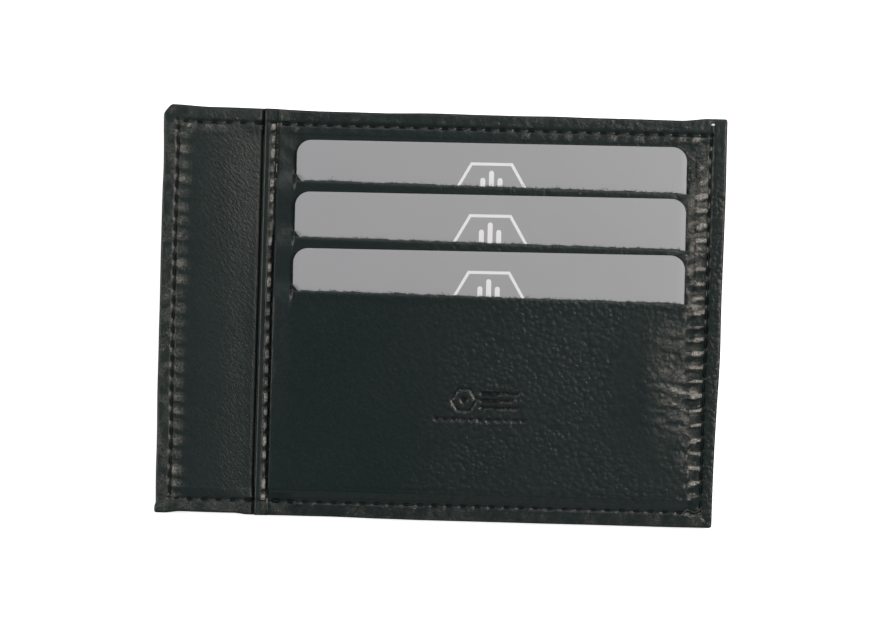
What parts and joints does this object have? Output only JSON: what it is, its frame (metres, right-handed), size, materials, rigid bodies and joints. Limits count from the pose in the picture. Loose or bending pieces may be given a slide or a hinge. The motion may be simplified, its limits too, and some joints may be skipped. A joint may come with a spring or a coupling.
{
  "type": "card holder",
  "caption": "Flat leather card holder with stepped card slots cut in one panel, plain plastic cards that slide out, and a side pocket for folded notes.",
  "frame": {"origin": "middle of the back panel's outer face, which the holder lies on", "axes": "+Z out of the front face; +X across the holder, from the plain strip to the card slots; +Y the way the cards slide out"},
  "size_m": [0.123, 0.089, 0.0063],
  "materials": {
    "leather": "fine pebbled grain, semi-matte, black with a cool cast",
    "lining": "thin matte woven lining",
    "stiffener": "pressed board, matte",
    "filler": "bonded fleece, matte",
    "tape": "non-stretch tape",
    "thread": "twisted polyester thread",
    "card": "satin, with a pale printed outline mark"
  },
  "bodies": {
    "holder": {"back_panel": "leather", "back_stiffener": "stiffener", "back_lining": "lining", "side_panel": "leather", "side_filler": "filler", "front_panel": "leather", "fold_tape": "tape", "front_lining": "lining", "pocket_lining_1": "lining", "pocket_lining_2": "lining", "pocket_lining_3": "lining", "rim_thread_front": "thread", "rim_thread_back": "thread", "fold_thread_front": "thread", "fold_thread_back": "thread", "pocket_thread": "thread"},
    "card_1": {"card_1": "card"},
    "card_2": {"card_2": "card"},
    "card_3": {"card_3": "card"}
  },
  "joints": [
    {"name": "card_1_slide", "type": "slide", "parent": "holder", "child": "card_1", "axis": [-0.0079, 0.9999, 0.0112], "range_m": [0, 0.043]},
    {"name": "card_2_slide", "type": "slide", "parent": "holder", "child": "card_2", "axis": [-0.0079, 0.9996, 0.0279], "range_m": [0, 0.042]},
    {"name": "card_3_slide", "type": "slide", "parent": "holder", "child": "card_3", "axis": [-0.0079, 0.9989, 0.0454], "range_m": [0, 0.042]}
  ]
}
